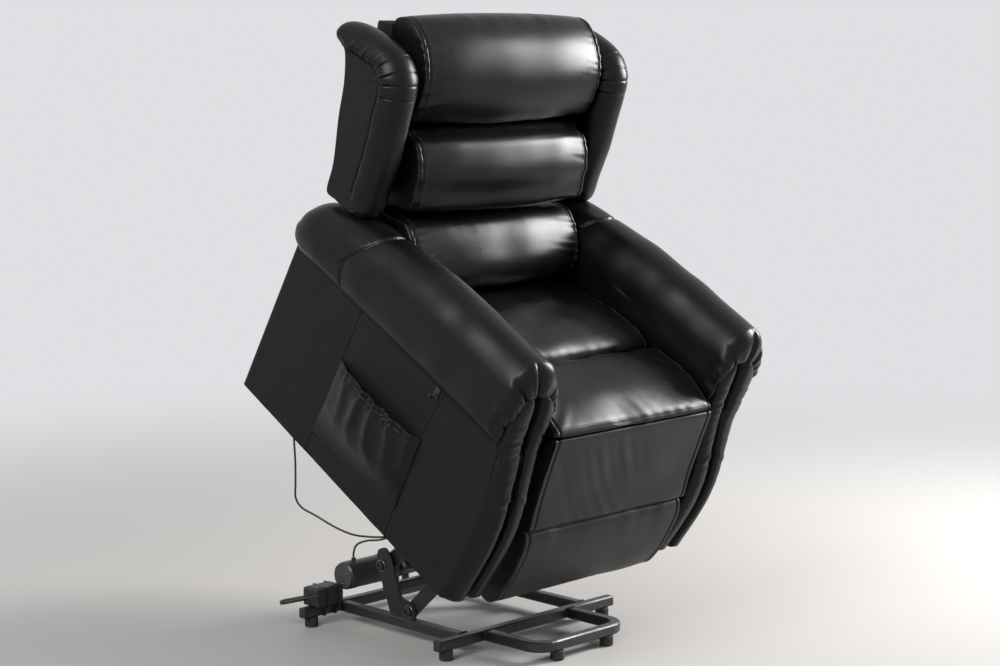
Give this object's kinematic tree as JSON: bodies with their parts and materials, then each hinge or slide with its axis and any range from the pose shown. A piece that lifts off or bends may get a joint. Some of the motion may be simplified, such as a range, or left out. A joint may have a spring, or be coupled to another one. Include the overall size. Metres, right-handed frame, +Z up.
{
  "type": "lift recliner chair",
  "caption": "Powered lift recliner in its raised, forward-tilted pose: winged pillow back, rolled arms, footrest and side pocket on a steel lift frame.",
  "frame": {"origin": "on the floor, under the middle of the raised chair's bounding box", "axes": "+Z up; the chair faces -Y; +X is to the sitter's left and to the right of someone who looks at its front"},
  "size_m": [0.8732, 0.9961, 1.498],
  "materials": {
    "vinyl": "black faux leather: a coated fabric, satin, fine grain",
    "side_vinyl": "black faux leather stretched flat over board, matt satin",
    "powder_coat": "black powder coat, satin",
    "mechanism_steel": "dark painted pressed steel, satin",
    "plastic": "black moulded plastic, fine texture",
    "rubber": "black rubber, matt",
    "bright_rod": "bright ground steel",
    "plywood": "raw plywood"
  },
  "bodies": {
    "base": {"front_cross_tube": "powder_coat", "rear_cross_tube": "powder_coat", "side_rail_left": "powder_coat", "side_rail_right": "powder_coat", "front_loop": "powder_coat", "foot_front_left": "rubber", "foot_front_right": "rubber", "foot_rear_left": "rubber", "foot_rear_right": "rubber", "foot_loop_left": "rubber", "foot_loop_right": "rubber", "base_bracket_left": "mechanism_steel", "base_bracket_right": "mechanism_steel", "bracket_tie_tube": "powder_coat", "actuator_clevis": "mechanism_steel", "power_box": "plastic", "cable_tie_1": "plastic", "cable_tie_2": "plastic", "lead_hank": "plastic", "control_cord": "plastic"},
    "rear_links": {"rear_lift_link_left": "mechanism_steel", "rear_lift_link_right": "mechanism_steel", "lift_torque_tube": "powder_coat"},
    "front_links": {"front_lift_link_left": "mechanism_steel", "front_lift_link_right": "mechanism_steel"},
    "actuator": {"actuator_gearbox": "plastic", "lift_motor": "plastic", "spindle_tube": "plastic"},
    "actuator_rod": {"lift_rod": "bright_rod"},
    "chair_body": {"carriage_plate_left": "mechanism_steel", "carriage_plate_right": "mechanism_steel", "lift_cross_tube": "powder_coat", "seat_deck": "plywood", "rear_panel": "side_vinyl", "arm_panel_left": "side_vinyl", "arm_panel_right": "side_vinyl", "arm_roll_left": "vinyl", "arm_roll_right": "vinyl", "arm_facing_left": "vinyl", "arm_facing_right": "vinyl", "seat_cushion": "vinyl", "side_pocket": "vinyl", "handset": "plastic", "handset_hook": "plastic"},
    "back": {"back_shell": "side_vinyl", "lumbar_pillow": "vinyl", "middle_pillow": "vinyl", "head_pillow": "vinyl", "wing_left": "vinyl", "wing_right": "vinyl", "recline_arm_left": "mechanism_steel", "recline_arm_right": "mechanism_steel"},
    "footrest_upper": {"footrest_upper_link_left": "mechanism_steel", "footrest_upper_link_right": "mechanism_steel"},
    "footrest_lower": {"footrest_lower_link_left": "mechanism_steel", "footrest_lower_link_right": "mechanism_steel"},
    "footrest": {"footrest_board": "plywood", "footrest_pad": "vinyl"},
    "raise_button": {"raise_button": "plastic"},
    "lower_button": {"lower_button": "plastic"}
  },
  "joints": [
    {"name": "lift", "type": "hinge", "parent": "base", "child": "rear_links", "pos_m": [0, 0.2127, 0.164], "axis": [1, 0, 0], "range_deg": [0, 38.19], "deforming": ["control_cord"]},
    {"name": "body_tilt", "type": "hinge", "parent": "rear_links", "child": "chair_body", "pos_m": [0, -0.08965, 0.35811], "axis": [1, 0, 0], "range_deg": [-68.77, 0]},
    {"name": "front_link_swing", "type": "hinge", "parent": "base", "child": "front_links", "pos_m": [0, 0.1167, 0.068], "axis": [1, 0, 0], "range_deg": [0, 39.29]},
    {"name": "actuator_swing", "type": "hinge", "parent": "base", "child": "actuator", "pos_m": [0, 0.3742, 0.086], "axis": [1, 0, 0], "range_deg": [0, 16.59]},
    {"name": "actuator_stroke", "type": "slide", "parent": "actuator", "child": "actuator_rod", "axis": [0, -0.7937, 0.6083], "range_m": [-0.1257, 0]},
    {"name": "recline", "type": "hinge", "parent": "chair_body", "child": "back", "pos_m": [0, 0.2502, 0.91417], "axis": [1, 0, 0], "range_deg": [-35, 0]},
    {"name": "footrest_raise", "type": "hinge", "parent": "chair_body", "child": "footrest_upper", "pos_m": [0, -0.21828, 0.47805], "axis": [1, 0, 0], "range_deg": [-61.44, 0]},
    {"name": "footrest_elbow", "type": "hinge", "parent": "footrest_upper", "child": "footrest_lower", "pos_m": [0, -0.16492, 0.26924], "axis": [1, 0, 0], "range_deg": [0, 113.94]},
    {"name": "footrest_turn", "type": "hinge", "parent": "footrest_lower", "child": "footrest", "pos_m": [0, -0.28696, 0.44688], "axis": [1, 0, 0], "range_deg": [-142.51, 0]},
    {"name": "press_raise_button", "type": "slide", "parent": "chair_body", "child": "raise_button", "axis": [1, 0, 0], "range_m": [0, 0.0015], "stiffness_N_per_m": 300},
    {"name": "press_lower_button", "type": "slide", "parent": "chair_body", "child": "lower_button", "axis": [1, 0, 0], "range_m": [0, 0.0015], "stiffness_N_per_m": 300}
  ],
  "couplings": [
    {"joint": "body_tilt", "follows": "lift", "ratio": -1.7981},
    {"joint": "front_link_swing", "follows": "lift", "ratio": 1.0263},
    {"joint": "actuator_swing", "follows": "lift", "ratio": 0.4317},
    {"joint": "actuator_stroke", "follows": "lift", "m_per_rad": -0.18778},
    {"joint": "footrest_elbow", "follows": "footrest_raise", "ratio": -1.853},
    {"joint": "footrest_turn", "follows": "footrest_raise", "ratio": 2.318}
  ]
}
